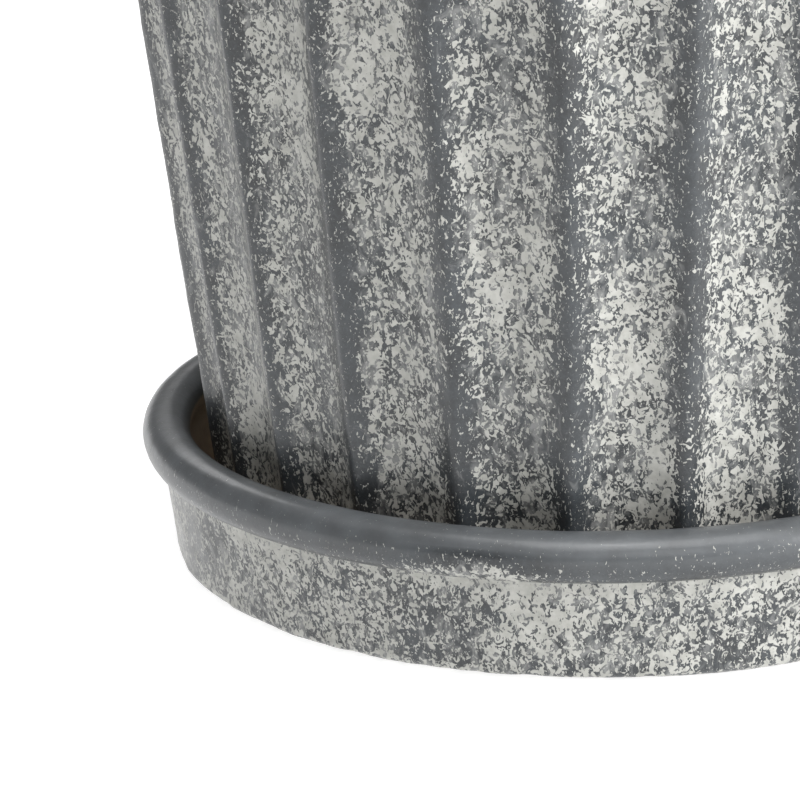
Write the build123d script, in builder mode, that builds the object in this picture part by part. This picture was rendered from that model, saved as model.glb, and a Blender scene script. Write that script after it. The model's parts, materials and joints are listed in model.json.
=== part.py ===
from build123d import *
import math
import os

# A self-watering planter. The origin is the middle of its footprint on the ground, +Z is up,
# and every length is in millimetres.

# Pot
pot_height = 300.0            # top of the pot's rolled rim above the ground
pot_base_radius = 130.1       # over the ridges, at the pot's underside
pot_taper = 0.1176            # growth of the ridge radius for each millimetre of height
flute_count = 24
flute_depth_ratio = 0.165     # depth of a flute below the line from ridge to ridge, over its width
ridge_rounding = 1.3          # degrees each side of a ridge that its rounding takes
ridge_crown = 0.35            # drop of the rounding at its ends, over its half-width
first_ridge_angle = -79.25    # degrees from +X
pot_wall = 6.5                # least wall, behind the deepest line of a flute
pot_floor = 10.0
pot_roll_radius = 9.5         # of the rolled rim at the top
pot_roll_overhang = 5.0       # how far the rolled rim stands out past the ridges
drain_hole_radius = 14.0
screen_seat_depth = 2.0
screen_seat_width = 8.0
screen_thickness = 1.6
screen_hole_radius = 1.6
screen_hole_pitch = 5.5       # from row to row
screen_hole_rows = 5
four_fold_start = 45.0        # degrees from +X to the first of four pads, feet or cups

# Saucer
saucer_roll_height = 41.1     # middle of the rolled rim above the ground
saucer_roll_radius = 7.9
saucer_gap = 6.1              # clear space between the ridges and the rolled rim
saucer_wall = 8.0
saucer_wall_inset = 5.7       # how far the wall stands in under the rolled rim
saucer_wall_slope = 4.2       # how far the wall runs in from the rim down to the foot
saucer_floor = 7.5
saucer_recess = 1.5
saucer_foot_width = 16.0
saucer_edge_round = 3.0
saucer_corner_round = 8.0

# Pads
foot_pad_radius = 11.0
foot_pad_inset = 22.0         # from the saucer's foot ring in to the pads' middles
foot_pad_stand = 0.8          # how far the felt pads stand below the foot
foot_pad_count = 4
standoff_radius = 9.0
standoff_height = 6.0
standoff_inset = 28.0         # from the pot's underside edge to the pads that it stands on
standoff_count = 4
rest_gap = 0.3                # between pieces that lift apart

# Liner, the plastic inner pot that holds the soil and the water
liner_gap = 2.0
liner_wall = 2.6
liner_floor = 3.0
liner_drop = 16.0             # from the top of the pot down to the liner's edge
liner_foot_height = 5.0
liner_foot_radius = 7.0
liner_foot_inset = 12.0
liner_foot_count = 4
liner_bead = 1.6              # extra thickness of the liner's top edge
liner_bead_height = 7.0

# Handles
handle_drop = 14.0            # from the liner's edge down to the pivots
handle_inset = 15.0           # from the liner's wall in to the pivots
handle_half_span = 33.0       # from the middle of the handle to the middle of an arm
handle_length = 42.0
handle_wire_radius = 2.5
handle_corner_radius = 10.0
handle_eye_radius = 5.0
handle_eye_half_width = 2.7
handle_grip_radius = 5.0
handle_grip_length = 36.0
handle_pin_radius = 2.0
ear_width = 5.0
ear_radius = 5.5
side_gap = 0.3                # beside a hinge's knuckles
running_gap = 0.05            # radial, round a hinge's pin

# Insert, the platform over the reservoir
reservoir_depth = 45.0
separator_thickness = 3.5
separator_gap = 0.8
separator_hole_radius = 2.2
separator_hole_pitch = 11.0
separator_hole_margin = 4.0
cup_ring_radius = 60.0
cup_count = 4
cup_radius = 20.0
cup_taper = 4.0
cup_wall = 2.0
cup_lip = 3.0
cup_slot_width = 3.0
cup_slot_count = 8
wick_crown = 6.0              # how far the felt stands above the platform
assembly_gap = 0.2            # between a tube and the hole that it drops into

# Filling tube
fill_radius = 17.0
fill_wall = 2.0
fill_wall_gap = 1.0           # from the platform's edge in to the tube's collar
fill_drop = 16.0              # from the liner's edge down to the tube's mouth
fill_reach = 14.0             # how far the tube runs on below the platform
collar_width = 5.0
collar_thickness = 3.0
lock_ring_thickness = 4.0
cap_overlap = 1.5
cap_thickness = 3.0
cap_plug_depth = 5.0
cap_plug_gap = 1.5
cap_plug_wall = 1.6
cap_hinge_reach = 5.0
cap_hinge_rise = 1.8
cap_knuckle_radius = 3.5
cap_knuckle_half_width = 5.0
cap_ear_width = 4.0
cap_ear_depth = 9.0
cap_pin_radius = 1.5

# Water gauge
gauge_radius = 9.0
gauge_wall = 1.6
gauge_wall_gap = 5.0          # from the liner's wall to the float
gauge_drop = 49.0             # from the liner's edge down to the end of the opaque tube
sight_wall = 1.8
sight_socket = 7.0
bush_length = 9.0
rod_radius = 2.0
rod_gap = 0.1
float_radius = 13.0
float_height = 18.0
float_chamfer = 2.0
float_rod_floor = 4.5         # of foam under the rod's end
float_gap = 0.6
float_stop_gap = 1.0
tip_radius = 5.0
tip_height = 7.0
tip_chamfer = 1.2
tip_rest_gap = 1.0            # from the gauge tube's end to the tip at rest
tip_dome_gap = 0.5            # between the tip and the dome when the float is right up

# Overflow
overflow_wall_gap = 13.0      # from the liner's wall to the flange
overflow_radius = 8.0
overflow_wall = 2.0
overflow_flange = 6.0
overflow_flange_thickness = 3.0
overflow_below_platform = 10.0
washer_thickness = 2.0
nut_thickness = 4.0
nut_flat_radius = 12.0

# Drain plug of the liner
plug_wall_gap = 15.0          # from the liner's wall to the flange
plug_stem_radius = 8.9
plug_stem_gap = 0.1
plug_flange_radius = 14.0
plug_flange_thickness = 2.4
plug_seal_thickness = 1.3
plug_seal_width = 3.2
plug_lug_length = 27.0
plug_lug_width = 6.0
plug_lug_thickness = 3.0
plug_lug_gap = 0.6
plug_coin_slot = 1.2          # depth of the slot for a coin
plug_coin_slot_width = 2.4
plug_coin_slot_length = 14.0

# Places that follow from the sizes above
saucer_floor_top = foot_pad_stand + saucer_recess + saucer_floor
pot_base = saucer_floor_top + standoff_height + rest_gap
pot_floor_top = pot_base + pot_floor
pot_roll_height = pot_height - pot_roll_radius
flute_angle = 360.0 / flute_count


def ridge_radius(height):
    return pot_base_radius + pot_taper * (height - pot_base)


def flute_bottom_radius(ridge):
    half = math.radians(flute_angle / 2)
    return ridge * (math.cos(half) - 2 * math.sin(half) * flute_depth_ratio)


def pot_inner_radius(height):
    return flute_bottom_radius(ridge_radius(height)) - pot_wall


def liner_outer_radius(height):
    return pot_inner_radius(height) - liner_gap


def liner_inner_radius(height):
    return liner_outer_radius(height) - liner_wall


pot_roll_centre = ridge_radius(pot_roll_height) + pot_roll_overhang - pot_roll_radius
saucer_roll_centre = ridge_radius(saucer_roll_height) + saucer_gap + saucer_roll_radius
saucer_outer_radius = saucer_roll_centre + saucer_roll_radius
saucer_wall_radius = saucer_outer_radius - saucer_wall_inset
saucer_base_radius = saucer_wall_radius - saucer_wall_slope

liner_base = pot_floor_top + rest_gap + liner_foot_height
liner_floor_top = liner_base + liner_floor
liner_top = pot_height - liner_drop
platform_under = liner_floor_top + reservoir_depth
platform_top = platform_under + separator_thickness
separator_radius = liner_inner_radius(platform_under) - separator_gap

fill_top = liner_top - fill_drop
fill_y = separator_radius - fill_wall_gap - collar_width - fill_radius
cap_hinge_y = fill_y + fill_radius + cap_hinge_reach
cap_hinge_z = fill_top + cap_hinge_rise
gauge_y = gauge_wall_gap + float_radius - liner_inner_radius(liner_floor_top)
gauge_top = liner_top - gauge_drop
pivot_height = liner_top - handle_drop
pivot_x = liner_inner_radius(pivot_height) - handle_inset

overflow_centre = liner_inner_radius(liner_floor_top) - overflow_wall_gap - overflow_radius - overflow_flange
plug_centre = plug_wall_gap + plug_flange_radius - liner_inner_radius(liner_floor_top)

float_bottom = liner_floor_top + float_gap
float_top = float_bottom + float_height
float_travel = platform_under - float_top - float_stop_gap
tip_bottom = gauge_top + tip_rest_gap

os.makedirs("parts", exist_ok=True)


def ring_profile(inner, outer, low, high):
    """A rectangle in the XZ plane for a ring about the Z axis, in the sketch that is open."""
    with Locations(((inner + outer) / 2, (low + high) / 2)):
        Rectangle(outer - inner, high - low)


def fluted_outline(height):
    """The pot's cross-section, rounded ridges with a hollow arc between each two."""
    ridge = ridge_radius(height)
    shoulder = ridge * (1 - ridge_crown * math.radians(ridge_rounding))
    with BuildSketch(Plane.XY.offset(height)) as outline:
        with BuildLine():
            for k in range(flute_count):
                at = first_ridge_angle + k * flute_angle
                ridge_end = Vector(shoulder, 0).rotate(Axis.Z, at + ridge_rounding)
                next_ridge = Vector(shoulder, 0).rotate(Axis.Z, at + flute_angle - ridge_rounding)
                ThreePointArc(
                    Vector(shoulder, 0).rotate(Axis.Z, at - ridge_rounding),
                    Vector(ridge, 0).rotate(Axis.Z, at),
                    ridge_end,
                )
                ThreePointArc(
                    ridge_end,
                    Vector(flute_bottom_radius(ridge), 0).rotate(Axis.Z, at + flute_angle / 2),
                    next_ridge,
                )
        make_face()
    return outline.sketch


def platform_hole_places():
    """A round grid of drain holes in the platform, clear of the cups and the tubes."""
    busy = []
    for k in range(cup_count):
        cup = Vector(cup_ring_radius, 0).rotate(Axis.Z, four_fold_start + k * 360 / cup_count)
        busy.append((cup, cup_radius + cup_lip))
    busy.append((Vector(0, fill_y), fill_radius + collar_width))
    busy.append((Vector(0, gauge_y), gauge_radius + collar_width))
    limit = separator_radius - separator_hole_radius - separator_hole_margin
    places = []
    for ring in range(1, int(limit / separator_hole_pitch) + 1):
        radius = ring * separator_hole_pitch
        count = 6 * ring
        for k in range(count):
            place = Vector(radius, 0).rotate(Axis.Z, 360 * k / count)
            spare = separator_hole_radius + separator_hole_margin
            if all((place - middle).length > size + spare for middle, size in busy):
                places.append((place.X, place.Y))
    return places


# Saucer: a shallow dish with a fat rolled rim
with BuildPart() as saucer:
    with BuildSketch(Plane.XZ):
        with BuildLine():
            foot_inner = saucer_base_radius - saucer_foot_width
            recess_top = foot_pad_stand + saucer_recess
            inner_at_rim = saucer_wall_radius - saucer_wall
            inner_at_floor = saucer_base_radius - saucer_wall
            Polyline(
                (saucer_wall_radius, saucer_roll_height),
                (saucer_base_radius, foot_pad_stand + saucer_edge_round),
                (saucer_base_radius - saucer_edge_round, foot_pad_stand),
                (foot_inner, foot_pad_stand),
                (foot_inner, recess_top),
                (0, recess_top),
                (0, saucer_floor_top),
                (inner_at_floor - saucer_corner_round, saucer_floor_top),
            )
            RadiusArc(
                (inner_at_floor - saucer_corner_round, saucer_floor_top),
                (inner_at_floor, saucer_floor_top + saucer_corner_round),
                -saucer_corner_round,
            )
            Polyline(
                (inner_at_floor, saucer_floor_top + saucer_corner_round),
                (inner_at_rim, saucer_roll_height),
                (saucer_wall_radius, saucer_roll_height),
            )
        make_face()
        with Locations((saucer_roll_centre, saucer_roll_height)):
            Circle(saucer_roll_radius)
    revolve(axis=Axis.Z)
saucer.part.label = "saucer"
export_step(saucer.part, "parts/saucer.step")

# Felt pads under the saucer, in its recess
with BuildPart() as saucer_pads:
    with BuildSketch():
        with PolarLocations(foot_inner - foot_pad_inset, foot_pad_count, start_angle=four_fold_start):
            Circle(foot_pad_radius)
    extrude(amount=foot_pad_stand + saucer_recess)
saucer_pads.part.label = "saucer_pads"
export_step(saucer_pads.part, "parts/saucer_pads.step")

# Rubber pads that hold the pot off the saucer's floor, so that water can leave its drain hole
with BuildPart() as standoff_pads:
    with BuildSketch(Plane.XY.offset(saucer_floor_top)):
        with PolarLocations(pot_base_radius - standoff_inset, standoff_count, start_angle=four_fold_start):
            Circle(standoff_radius)
    extrude(amount=standoff_height)
standoff_pads.part.label = "standoff_pads"
export_step(standoff_pads.part, "parts/standoff_pads.step")

# Pot: a fluted cone with a rolled rim, a thick floor and a drain hole
with BuildPart() as pot:
    add(fluted_outline(pot_base))
    add(fluted_outline(pot_roll_height))
    loft(ruled=True)
    with BuildSketch(Plane.XZ):
        with BuildLine():
            Polyline(
                (0, pot_floor_top),
                (pot_inner_radius(pot_floor_top), pot_floor_top),
                (pot_inner_radius(pot_height), pot_height),
                (0, pot_height),
                close=True,
            )
        make_face()
    revolve(axis=Axis.Z, mode=Mode.SUBTRACT)
    with BuildSketch(Plane.XZ):
        with Locations((pot_roll_centre, pot_roll_height)):
            Circle(pot_roll_radius)
    revolve(axis=Axis.Z)
    with Locations((0, 0, pot_floor_top)):
        CounterBoreHole(drain_hole_radius, drain_hole_radius + screen_seat_width, screen_seat_depth)
pot.part.label = "pot"
export_step(pot.part, "parts/pot.step")

# Drain screen: a perforated disc over the pot's drain hole
screen_bottom = pot_floor_top - screen_seat_depth
with BuildPart() as drain_screen:
    with BuildSketch(Plane.XY.offset(screen_bottom)):
        Circle(drain_hole_radius + screen_seat_width - assembly_gap)
        with HexLocations(screen_hole_pitch / math.sqrt(3), screen_hole_rows, screen_hole_rows):
            Circle(screen_hole_radius, mode=Mode.SUBTRACT)
    extrude(amount=screen_thickness)
drain_screen.part.label = "drain_screen"
export_step(drain_screen.part, "parts/drain_screen.step")

# Liner: a thin plastic inner pot on short feet, with ears for its two handles
ear_middle = handle_half_span + handle_eye_half_width + side_gap + ear_width / 2
with BuildPart() as liner_block:
    with BuildSketch(Plane.XZ):
        with BuildLine():
            Polyline(
                (0, liner_base),
                (liner_outer_radius(liner_base), liner_base),
                (liner_outer_radius(liner_top), liner_top),
                (0, liner_top),
                close=True,
            )
        make_face()
    revolve(axis=Axis.Z)

with BuildPart() as liner:
    add(liner_block.part)
    with BuildSketch(Plane.XZ):
        with BuildLine():
            bead_bottom = liner_top - liner_bead_height
            Polyline(
                (0, liner_floor_top),
                (liner_inner_radius(liner_floor_top), liner_floor_top),
                (liner_inner_radius(bead_bottom), bead_bottom),
                (liner_inner_radius(bead_bottom) - liner_bead, bead_bottom + liner_bead),
                (liner_inner_radius(liner_top) - liner_bead, liner_top),
                (0, liner_top),
                close=True,
            )
        make_face()
    revolve(axis=Axis.Z, mode=Mode.SUBTRACT)
    for side in (-1, 1):
        for end in (-1, 1):
            with BuildSketch(Plane.XZ.offset(-end * ear_middle)):
                with Locations((side * pivot_x, pivot_height)):
                    Circle(ear_radius)
                with Locations((side * (pivot_x + handle_inset), pivot_height)):
                    Rectangle(2 * handle_inset, 2 * ear_radius)
            extrude(amount=ear_width / 2, both=True)
    add(liner_block.part, mode=Mode.INTERSECT)
    with BuildSketch(Plane.XY.offset(liner_base)):
        foot_ring = liner_outer_radius(liner_base) - liner_foot_inset
        with PolarLocations(foot_ring, liner_foot_count, start_angle=four_fold_start):
            Circle(liner_foot_radius)
    extrude(amount=-liner_foot_height)
    with BuildSketch(Plane.XY.offset(liner_base)):
        with Locations((overflow_centre, 0)):
            Circle(overflow_radius + assembly_gap)
        with Locations((plug_centre, 0)):
            Circle(plug_stem_radius + plug_stem_gap)
            Rectangle(plug_lug_length + 2 * plug_lug_gap, plug_lug_width + 2 * plug_lug_gap)
    extrude(amount=liner_floor, mode=Mode.SUBTRACT)
    with BuildSketch(Plane.XZ):
        with Locations((pivot_x, pivot_height), (-pivot_x, pivot_height)):
            Circle(handle_pin_radius)
    extrude(amount=ear_middle + ear_width, both=True, mode=Mode.SUBTRACT)
liner.part.label = "liner"
export_step(liner.part, "parts/liner.step")

# Handle pins, pressed into the liner's ears
pin_length = ear_width + side_gap + 2 * handle_eye_half_width
with BuildPart() as handle_pins:
    for side in (-1, 1):
        for end in (-1, 1):
            pin_middle = end * (ear_middle + ear_width / 2 - pin_length / 2)
            with BuildSketch(Plane.XZ.offset(-pin_middle)):
                with Locations((side * pivot_x, pivot_height)):
                    Circle(handle_pin_radius)
            extrude(amount=pin_length / 2, both=True)
handle_pins.part.label = "handle_pins"
export_step(handle_pins.part, "parts/handle_pins.step")

# Two wire handles that hang inside the liner and fold up to lift it, each with a moulded grip
for side, name in ((-1, "left_handle"), (1, "right_handle")):
    across = Plane(origin=(side * pivot_x, 0, pivot_height), x_dir=(0, 1, 0), z_dir=(1, 0, 0))
    with BuildPart() as handle:
        with BuildLine(across) as wire:
            FilletPolyline(
                (-handle_half_span, -handle_eye_radius / 2),
                (-handle_half_span, -handle_length),
                (handle_half_span, -handle_length),
                (handle_half_span, -handle_eye_radius / 2),
                radius=handle_corner_radius,
            )
        with BuildSketch(Plane(origin=wire.line @ 0, z_dir=wire.line % 0)):
            Circle(handle_wire_radius)
        sweep()
        for end in (-1, 1):
            with BuildSketch(Plane.XZ.offset(-end * handle_half_span)):
                with Locations((side * pivot_x, pivot_height)):
                    Circle(handle_eye_radius)
            extrude(amount=handle_eye_half_width, both=True)
        with BuildSketch(Plane.XZ):
            with Locations((side * pivot_x, pivot_height)):
                Circle(handle_pin_radius + running_gap)
        extrude(amount=2 * handle_half_span, both=True, mode=Mode.SUBTRACT)
    handle.part.label = name
    export_step(handle.part, "parts/" + name + ".step")

    with BuildPart() as grip:
        with BuildSketch(Plane.XZ):
            with Locations((side * pivot_x, pivot_height - handle_length)):
                Circle(handle_grip_radius)
                Circle(handle_wire_radius, mode=Mode.SUBTRACT)
        extrude(amount=handle_grip_length / 2, both=True)
    grip.part.label = name + "_grip"
    export_step(grip.part, "parts/" + name + "_grip.step")

# Separator: the perforated platform that keeps the soil above the water
with BuildPart() as separator:
    with BuildSketch(Plane.XY.offset(platform_under)):
        Circle(separator_radius)
        with PolarLocations(cup_ring_radius, cup_count, start_angle=four_fold_start):
            Circle(cup_radius + assembly_gap, mode=Mode.SUBTRACT)
        with Locations((0, fill_y)):
            Circle(fill_radius + assembly_gap, mode=Mode.SUBTRACT)
        with Locations((0, gauge_y)):
            Circle(gauge_radius + assembly_gap, mode=Mode.SUBTRACT)
        with Locations(platform_hole_places()):
            Circle(separator_hole_radius, mode=Mode.SUBTRACT)
    extrude(amount=separator_thickness)
separator.part.label = "separator"
export_step(separator.part, "parts/separator.step")

# Wick cups: slotted cups that drop through the platform and stand in the water
cup_bottom = liner_floor_top + rest_gap
cup_floor_top = cup_bottom + cup_wall
with BuildPart() as one_cup:
    with BuildSketch(Plane.XZ):
        with BuildLine():
            Polyline(
                (0, cup_bottom),
                (cup_radius - cup_taper, cup_bottom),
                (cup_radius, platform_under),
                (cup_radius, platform_top),
                (cup_radius + cup_lip, platform_top),
                (cup_radius + cup_lip, platform_top + cup_wall),
                (cup_radius - cup_wall, platform_top + cup_wall),
                (cup_radius - cup_wall, platform_under),
                (cup_radius - cup_taper - cup_wall, cup_floor_top),
                (0, cup_floor_top),
                close=True,
            )
        make_face()
    revolve(axis=Axis.Z)
    slot_low = cup_floor_top + cup_wall
    slot_high = platform_under - 2 * cup_wall
    with BuildSketch(Plane.XY.offset(slot_low)):
        with PolarLocations(cup_radius, cup_slot_count):
            Rectangle(2 * cup_taper + 2 * cup_wall, cup_slot_width)
    extrude(amount=slot_high - slot_low, mode=Mode.SUBTRACT)
with BuildPart() as wick_cups:
    with PolarLocations(cup_ring_radius, cup_count, start_angle=four_fold_start):
        add(one_cup.part)
wick_cups.part.label = "wick_cups"
export_step(wick_cups.part, "parts/wick_cups.step")

# Wick felts: capillary felt that fills each cup and stands a little above the platform
with BuildPart() as one_felt:
    with BuildSketch(Plane.XZ):
        with BuildLine():
            Polyline(
                (0, cup_floor_top),
                (cup_radius - cup_taper - cup_wall, cup_floor_top),
                (cup_radius - cup_wall, platform_under),
                (cup_radius - cup_wall, platform_top + wick_crown),
                (0, platform_top + wick_crown),
                close=True,
            )
        make_face()
    revolve(axis=Axis.Z)
with BuildPart() as wick_felts:
    with PolarLocations(cup_ring_radius, cup_count, start_angle=four_fold_start):
        add(one_felt.part)
wick_felts.part.label = "wick_felts"
export_step(wick_felts.part, "parts/wick_felts.step")

# Filling tube, with a collar on the platform and two ears for its cap
with BuildPart() as fill_tube:
    with BuildSketch(Plane.XY.offset(platform_under - fill_reach)):
        with Locations((0, fill_y)):
            Circle(fill_radius)
    extrude(amount=fill_top - platform_under + fill_reach)
    with BuildSketch(Plane.XY.offset(platform_top)):
        with Locations((0, fill_y)):
            Circle(fill_radius + collar_width)
    extrude(amount=collar_thickness)
    for end in (-1, 1):
        ear_at = end * (cap_knuckle_half_width + side_gap + cap_ear_width / 2)
        ear_inner = fill_y + fill_radius - fill_wall
        ear_outer = cap_hinge_y + cap_knuckle_radius
        with BuildSketch(Plane.YZ.offset(ear_at)):
            with Locations((cap_hinge_y, cap_hinge_z)):
                Circle(cap_knuckle_radius)
            ring_profile(ear_inner, ear_outer, fill_top - cap_ear_depth, fill_top - side_gap)
        extrude(amount=cap_ear_width / 2, both=True)
    with BuildSketch(Plane.XY.offset(platform_under - fill_reach)):
        with Locations((0, fill_y)):
            Circle(fill_radius - fill_wall)
    extrude(amount=fill_top - platform_under + fill_reach + cap_knuckle_radius, mode=Mode.SUBTRACT)
    with BuildSketch(Plane.YZ):
        with Locations((cap_hinge_y, cap_hinge_z)):
            Circle(cap_pin_radius)
    extrude(amount=2 * fill_radius, both=True, mode=Mode.SUBTRACT)
fill_tube.part.label = "fill_tube"
export_step(fill_tube.part, "parts/fill_tube.step")

# Lock ring that clamps the filling tube to the platform from below
with BuildPart() as fill_lock_ring:
    with BuildSketch(Plane.XY.offset(platform_under - lock_ring_thickness)):
        with Locations((0, fill_y)):
            Circle(fill_radius + collar_width)
            Circle(fill_radius, mode=Mode.SUBTRACT)
    extrude(amount=lock_ring_thickness)
fill_lock_ring.part.label = "fill_lock_ring"
export_step(fill_lock_ring.part, "parts/fill_lock_ring.step")

# Hinge pin of the filling tube's cap
cap_pin_half = cap_knuckle_half_width + side_gap + cap_ear_width
with BuildPart() as cap_pin:
    with BuildSketch(Plane.YZ):
        with Locations((cap_hinge_y, cap_hinge_z)):
            Circle(cap_pin_radius)
    extrude(amount=cap_pin_half, both=True)
cap_pin.part.label = "cap_pin"
export_step(cap_pin.part, "parts/cap_pin.step")

# Cap: a round lid with a short plug that enters the tube's mouth
cap_bottom = fill_top + rest_gap
plug_ring_radius = fill_radius - fill_wall - cap_plug_gap
with BuildPart() as fill_cap:
    with BuildSketch(Plane.XY.offset(cap_bottom)):
        with Locations((0, fill_y)):
            Circle(fill_radius + cap_overlap)
        with Locations((0, (fill_y + cap_hinge_y) / 2)):
            Rectangle(2 * cap_knuckle_half_width, cap_hinge_y - fill_y)
    extrude(amount=cap_thickness)
    with BuildSketch(Plane.XY.offset(cap_bottom)):
        with Locations((0, fill_y)):
            Circle(plug_ring_radius)
            Circle(plug_ring_radius - cap_plug_wall, mode=Mode.SUBTRACT)
    extrude(amount=-cap_plug_depth)
    with BuildSketch(Plane.YZ):
        with Locations((cap_hinge_y, cap_hinge_z)):
            Circle(cap_knuckle_radius)
    extrude(amount=cap_knuckle_half_width, both=True)
    with BuildSketch(Plane.YZ):
        with Locations((cap_hinge_y, cap_hinge_z)):
            Circle(cap_pin_radius + running_gap)
    extrude(amount=cap_pin_half, both=True, mode=Mode.SUBTRACT)
fill_cap.part.label = "fill_cap"
export_step(fill_cap.part, "parts/fill_cap.step")

# Gauge tube, with a collar on the platform
with BuildPart() as gauge_tube:
    with BuildSketch(Plane.XY.offset(platform_under)):
        with Locations((0, gauge_y)):
            Circle(gauge_radius)
    extrude(amount=gauge_top - platform_under)
    with BuildSketch(Plane.XY.offset(platform_top)):
        with Locations((0, gauge_y)):
            Circle(gauge_radius + collar_width)
    extrude(amount=collar_thickness)
    with BuildSketch(Plane.XY.offset(platform_under)):
        with Locations((0, gauge_y)):
            Circle(gauge_radius - gauge_wall)
    extrude(amount=gauge_top - platform_under, mode=Mode.SUBTRACT)
gauge_tube.part.label = "gauge_tube"
export_step(gauge_tube.part, "parts/gauge_tube.step")

# Guide bushes for the rod, one at each end of the gauge tube
with BuildPart() as guide_bushes:
    for low in (platform_under, gauge_top - bush_length):
        with BuildSketch(Plane.XY.offset(low)):
            with Locations((0, gauge_y)):
                Circle(gauge_radius - gauge_wall)
                Circle(rod_radius + rod_gap, mode=Mode.SUBTRACT)
        extrude(amount=bush_length)
guide_bushes.part.label = "guide_bushes"
export_step(guide_bushes.part, "parts/guide_bushes.step")

# Sight cap: a clear dome over the gauge tube's end, where the red tip shows
dome_outer = gauge_radius + sight_wall
dome_inner = dome_outer - 2 * sight_wall
tip_reach = math.sqrt((dome_inner - tip_dome_gap) ** 2 - tip_radius**2)
dome_spring = tip_bottom + tip_height + float_travel - tip_reach
dome_top = dome_spring + dome_outer
with BuildPart() as sight_cap:
    with BuildSketch(Plane.XZ) as dome:
        with Locations((0, dome_spring)):
            Circle(dome_outer)
        ring_profile(-dome_outer, dome_outer, gauge_top - sight_socket, dome_spring)
        with Locations((0, dome_spring)):
            Circle(dome_inner, mode=Mode.SUBTRACT)
        with Locations((0, (gauge_top + dome_spring) / 2)):
            Rectangle(2 * dome_inner, dome_spring - gauge_top, mode=Mode.SUBTRACT)
        with Locations((0, gauge_top - sight_socket / 2)):
            Rectangle(2 * gauge_radius, sight_socket, mode=Mode.SUBTRACT)
        with Locations((-dome_outer, gauge_top)):
            Rectangle(2 * dome_outer, 3 * (dome_top - gauge_top), mode=Mode.SUBTRACT)
    revolve(axis=Axis.Z)
sight_cap = sight_cap.part.moved(Location((0, gauge_y, 0)))
sight_cap.label = "sight_cap"
export_step(sight_cap, "parts/sight_cap.step")

# Float, on the rod that carries the red tip
rod_bottom = float_bottom + float_rod_floor
rod_top = tip_bottom + tip_height / 2
with BuildPart() as float_block:
    with BuildSketch(Plane.XY.offset(float_bottom)):
        with Locations((0, gauge_y)):
            Circle(float_radius)
    extrude(amount=float_height)
    chamfer(float_block.edges().filter_by(GeomType.CIRCLE), length=float_chamfer)
    with BuildSketch(Plane.XY.offset(rod_bottom)):
        with Locations((0, gauge_y)):
            Circle(rod_radius)
    extrude(amount=float_height, mode=Mode.SUBTRACT)
float_block.part.label = "float_block"
export_step(float_block.part, "parts/float_block.step")

with BuildPart() as indicator_rod:
    with BuildSketch(Plane.XY.offset(rod_bottom)):
        with Locations((0, gauge_y)):
            Circle(rod_radius)
    extrude(amount=rod_top - rod_bottom)
indicator_rod.part.label = "indicator_rod"
export_step(indicator_rod.part, "parts/indicator_rod.step")

with BuildPart() as indicator_tip:
    with BuildSketch(Plane.XY.offset(tip_bottom)):
        with Locations((0, gauge_y)):
            Circle(tip_radius)
    extrude(amount=tip_height)
    chamfer(indicator_tip.faces().sort_by(Axis.Z)[-1].edges(), length=tip_chamfer)
    with BuildSketch(Plane.XY.offset(tip_bottom)):
        with Locations((0, gauge_y)):
            Circle(rod_radius)
    extrude(amount=rod_top - tip_bottom, mode=Mode.SUBTRACT)
indicator_tip.part.label = "indicator_tip"
export_step(indicator_tip.part, "parts/indicator_tip.step")

# Overflow: a standpipe through the liner's floor, with a washer above and a nut below
flange_bottom = liner_floor_top + washer_thickness
with BuildPart() as overflow_pipe:
    with BuildSketch(Plane.XY.offset(liner_base - nut_thickness)):
        with Locations((overflow_centre, 0)):
            Circle(overflow_radius)
    pipe_top = platform_under - overflow_below_platform
    extrude(amount=pipe_top - liner_base + nut_thickness)
    with BuildSketch(Plane.XY.offset(flange_bottom)):
        with Locations((overflow_centre, 0)):
            Circle(overflow_radius + overflow_flange)
    extrude(amount=overflow_flange_thickness)
    with BuildSketch(Plane.XY.offset(liner_base - nut_thickness)):
        with Locations((overflow_centre, 0)):
            Circle(overflow_radius - overflow_wall)
    extrude(amount=pipe_top - liner_base + nut_thickness, mode=Mode.SUBTRACT)
overflow_pipe.part.label = "overflow_pipe"
export_step(overflow_pipe.part, "parts/overflow_pipe.step")

with BuildPart() as overflow_washer:
    with BuildSketch(Plane.XY.offset(liner_floor_top)):
        with Locations((overflow_centre, 0)):
            Circle(overflow_radius + overflow_flange)
            Circle(overflow_radius, mode=Mode.SUBTRACT)
    extrude(amount=washer_thickness)
overflow_washer.part.label = "overflow_washer"
export_step(overflow_washer.part, "parts/overflow_washer.step")

with BuildPart() as overflow_nut:
    with BuildSketch(Plane.XY.offset(liner_base - nut_thickness)):
        with Locations((overflow_centre, 0)):
            RegularPolygon(nut_flat_radius, 6, major_radius=False)
            Circle(overflow_radius, mode=Mode.SUBTRACT)
    extrude(amount=nut_thickness)
overflow_nut.part.label = "overflow_nut"
export_step(overflow_nut.part, "parts/overflow_nut.step")

# Drain plug: a quarter turn brings its lugs over the slot in the liner's floor
seal_top = liner_base - rest_gap
plug_flange_top = seal_top - plug_seal_thickness
plug_flange_bottom = plug_flange_top - plug_flange_thickness
lug_bottom = liner_floor_top + rest_gap
with BuildPart() as drain_plug:
    with BuildSketch(Plane.XY.offset(plug_flange_bottom)):
        with Locations((plug_centre, 0)):
            Circle(plug_flange_radius)
    extrude(amount=plug_flange_thickness)
    with BuildSketch(Plane.XY.offset(plug_flange_top)):
        with Locations((plug_centre, 0)):
            Circle(plug_stem_radius)
    extrude(amount=lug_bottom + plug_lug_thickness - plug_flange_top)
    with BuildSketch(Plane.XY.offset(lug_bottom)):
        with Locations((plug_centre, 0)):
            Rectangle(plug_lug_width, plug_lug_length)
    extrude(amount=plug_lug_thickness)
    with BuildSketch(Plane.XY.offset(plug_flange_bottom)):
        with Locations((plug_centre, 0)):
            SlotOverall(plug_coin_slot_length, plug_coin_slot_width)
    extrude(amount=plug_coin_slot, mode=Mode.SUBTRACT)
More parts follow.
